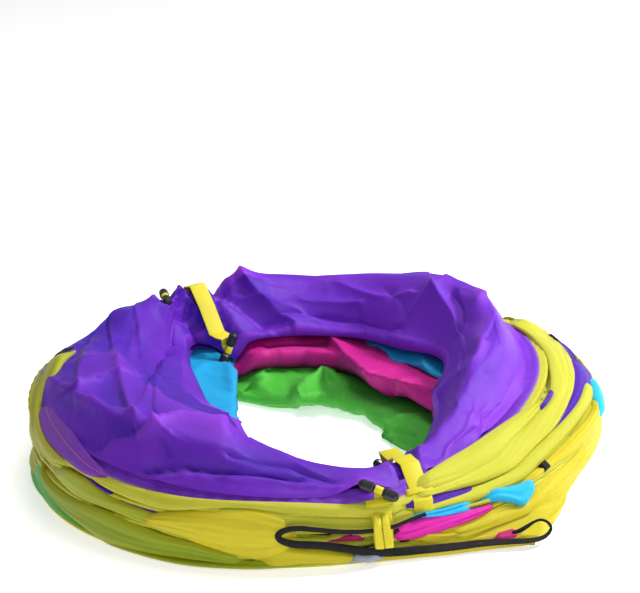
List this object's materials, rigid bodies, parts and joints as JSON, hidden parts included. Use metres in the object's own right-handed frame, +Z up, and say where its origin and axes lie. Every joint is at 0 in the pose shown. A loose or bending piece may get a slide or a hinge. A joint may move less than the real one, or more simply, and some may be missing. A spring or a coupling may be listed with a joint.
{
  "type": "children's play tunnel",
  "caption": "Pop-up crawl tunnel of coloured cloth over a spring wire, collapsed flat into a ring and held by straps with toggles.",
  "frame": {"origin": "centre of the ring on the floor it lies on", "axes": "+Z up, along the tunnel's axis and the way it pulls out; -Y towards the front tie with the window edge; +X to the right seen from the front"},
  "size_m": [0.4893, 0.4944, 0.117],
  "materials": {
    "spring_steel": "drawn spring wire",
    "hem_purple": "woven nylon taffeta, doubled hem",
    "tape_yellow": "woven nylon taffeta tape, doubled",
    "cloth_green": "nylon taffeta",
    "cloth_yellow": "nylon taffeta",
    "cloth_magenta": "nylon taffeta",
    "cloth_cyan": "nylon taffeta",
    "cloth_purple": "nylon taffeta",
    "strap_yellow": "soft woven tape",
    "binding_black": "folded bias tape",
    "toggle_black": "moulded, fine grained",
    "ribbon_grey": "satin ribbon, bare"
  },
  "bodies": {
    "turn_0": {"spring_turn_0": "spring_steel", "casing_0": "tape_yellow", "panel_green": "cloth_green", "sewn_ribbon": "ribbon_grey"},
    "turn_1": {"spring_turn_1": "spring_steel", "casing_1": "tape_yellow", "panel_yellow": "cloth_yellow", "window_facing": "cloth_yellow", "window_binding": "binding_black"},
    "turn_2": {"spring_turn_2": "spring_steel", "casing_2": "tape_yellow", "panel_magenta": "cloth_magenta"},
    "turn_3": {"spring_turn_3": "spring_steel", "casing_3": "tape_yellow", "panel_cyan": "cloth_cyan"},
    "turn_4": {"spring_turn_4": "spring_steel", "casing_4": "tape_yellow", "panel_purple_low": "cloth_purple", "side_tab": "binding_black"},
    "turn_5": {"spring_turn_5": "spring_steel", "casing_5": "tape_yellow", "panel_purple_top": "cloth_purple"},
    "turn_6": {"spring_turn_6": "spring_steel", "casing_6": "hem_purple", "front_lower_tie_keeper": "strap_yellow", "front_upper_tie_keeper": "strap_yellow", "back_upper_tie_keeper": "strap_yellow", "back_lower_tie_keeper": "strap_yellow"},
    "front_lower_strap": {"front_lower_tie_strap": "strap_yellow"},
    "front_lower_bar": {"front_lower_toggle": "toggle_black"},
    "front_upper_strap": {"front_upper_tie_strap": "strap_yellow"},
    "front_upper_bar": {"front_upper_toggle": "toggle_black"},
    "back_upper_strap": {"back_upper_tie_strap": "strap_yellow"},
    "back_upper_bar": {"back_upper_toggle": "toggle_black"},
    "back_lower_strap": {"back_lower_tie_strap": "strap_yellow"},
    "back_lower_bar": {"back_lower_toggle": "toggle_black"}
  },
  "joints": [
    {"name": "pull_out_1", "type": "slide", "parent": "turn_0", "child": "turn_1", "axis": [0, 0, 1], "range_m": [0, 0.288], "deforming": ["panel_green"]},
    {"name": "pull_out_2", "type": "slide", "parent": "turn_1", "child": "turn_2", "axis": [0, 0, 1], "range_m": [0, 0.288], "deforming": ["panel_yellow", "window_facing", "window_binding"]},
    {"name": "pull_out_3", "type": "slide", "parent": "turn_2", "child": "turn_3", "axis": [0, 0, 1], "range_m": [0, 0.288], "deforming": ["panel_magenta"]},
    {"name": "pull_out_4", "type": "slide", "parent": "turn_3", "child": "turn_4", "axis": [0, 0, 1], "range_m": [0, 0.288], "deforming": ["panel_cyan"]},
    {"name": "pull_out_5", "type": "slide", "parent": "turn_4", "child": "turn_5", "axis": [0, 0, 1], "range_m": [0, 0.288], "deforming": ["panel_purple_low"]},
    {"name": "pull_out_6", "type": "slide", "parent": "turn_5", "child": "turn_6", "axis": [0, 0, 1], "range_m": [0, 0.288], "deforming": ["panel_purple_top"]},
    {"name": "front_lower_untie", "type": "hinge", "parent": "turn_0", "child": "front_lower_strap", "pos_m": [0.04472, -0.2413, 0.001], "axis": [0.9833, 0.1822, 0], "range_deg": [0, 75], "deforming": ["front_lower_tie_strap"]},
    {"name": "front_lower_toggle_turn", "type": "hinge", "parent": "front_lower_strap", "child": "front_lower_bar", "pos_m": [0.04403, -0.23757, 0.05836], "axis": [0.1247, -0.6727, 0.7293], "range_deg": [-90, 90]},
    {"name": "front_upper_untie", "type": "hinge", "parent": "turn_4", "child": "front_upper_strap", "pos_m": [0.07859, -0.23084, 0.03007], "axis": [0.9466, 0.3223, 0], "range_deg": [0, 165], "deforming": ["front_upper_tie_strap"]},
    {"name": "front_upper_toggle_turn", "type": "hinge", "parent": "front_upper_strap", "child": "front_upper_bar", "pos_m": [0.05263, -0.1546, 0.03553], "axis": [-0.3223, 0.9466, 0], "range_deg": [-90, 90]},
    {"name": "back_upper_untie", "type": "hinge", "parent": "turn_4", "child": "back_upper_strap", "pos_m": [-0.15444, 0.19072, 0.02985], "axis": [-0.7771, -0.6293, 0], "range_deg": [0, 130], "deforming": ["back_upper_tie_strap"]},
    {"name": "back_upper_toggle_turn", "type": "hinge", "parent": "back_upper_strap", "child": "back_upper_bar", "pos_m": [-0.12909, 0.15941, 0.09148], "axis": [0, 0, 1], "range_deg": [-90, 90]},
    {"name": "back_lower_untie", "type": "hinge", "parent": "turn_4", "child": "back_lower_strap", "pos_m": [-0.1227, 0.21253, 0.0299], "axis": [-0.866, -0.5, 0], "range_deg": [0, 165], "deforming": ["back_lower_tie_strap"]},
    {"name": "back_lower_toggle_turn", "type": "hinge", "parent": "back_lower_strap", "child": "back_lower_bar", "pos_m": [-0.07536, 0.13052, 0.04727], "axis": [0.5, -0.866, 0], "range_deg": [-90, 90]}
  ],
  "couplings": [
    {"joint": "pull_out_2", "follows": "pull_out_1", "ratio": 1},
    {"joint": "pull_out_3", "follows": "pull_out_1", "ratio": 1},
    {"joint": "pull_out_4", "follows": "pull_out_1", "ratio": 1},
    {"joint": "pull_out_5", "follows": "pull_out_1", "ratio": 1},
    {"joint": "pull_out_6", "follows": "pull_out_1", "ratio": 1}
  ]
}
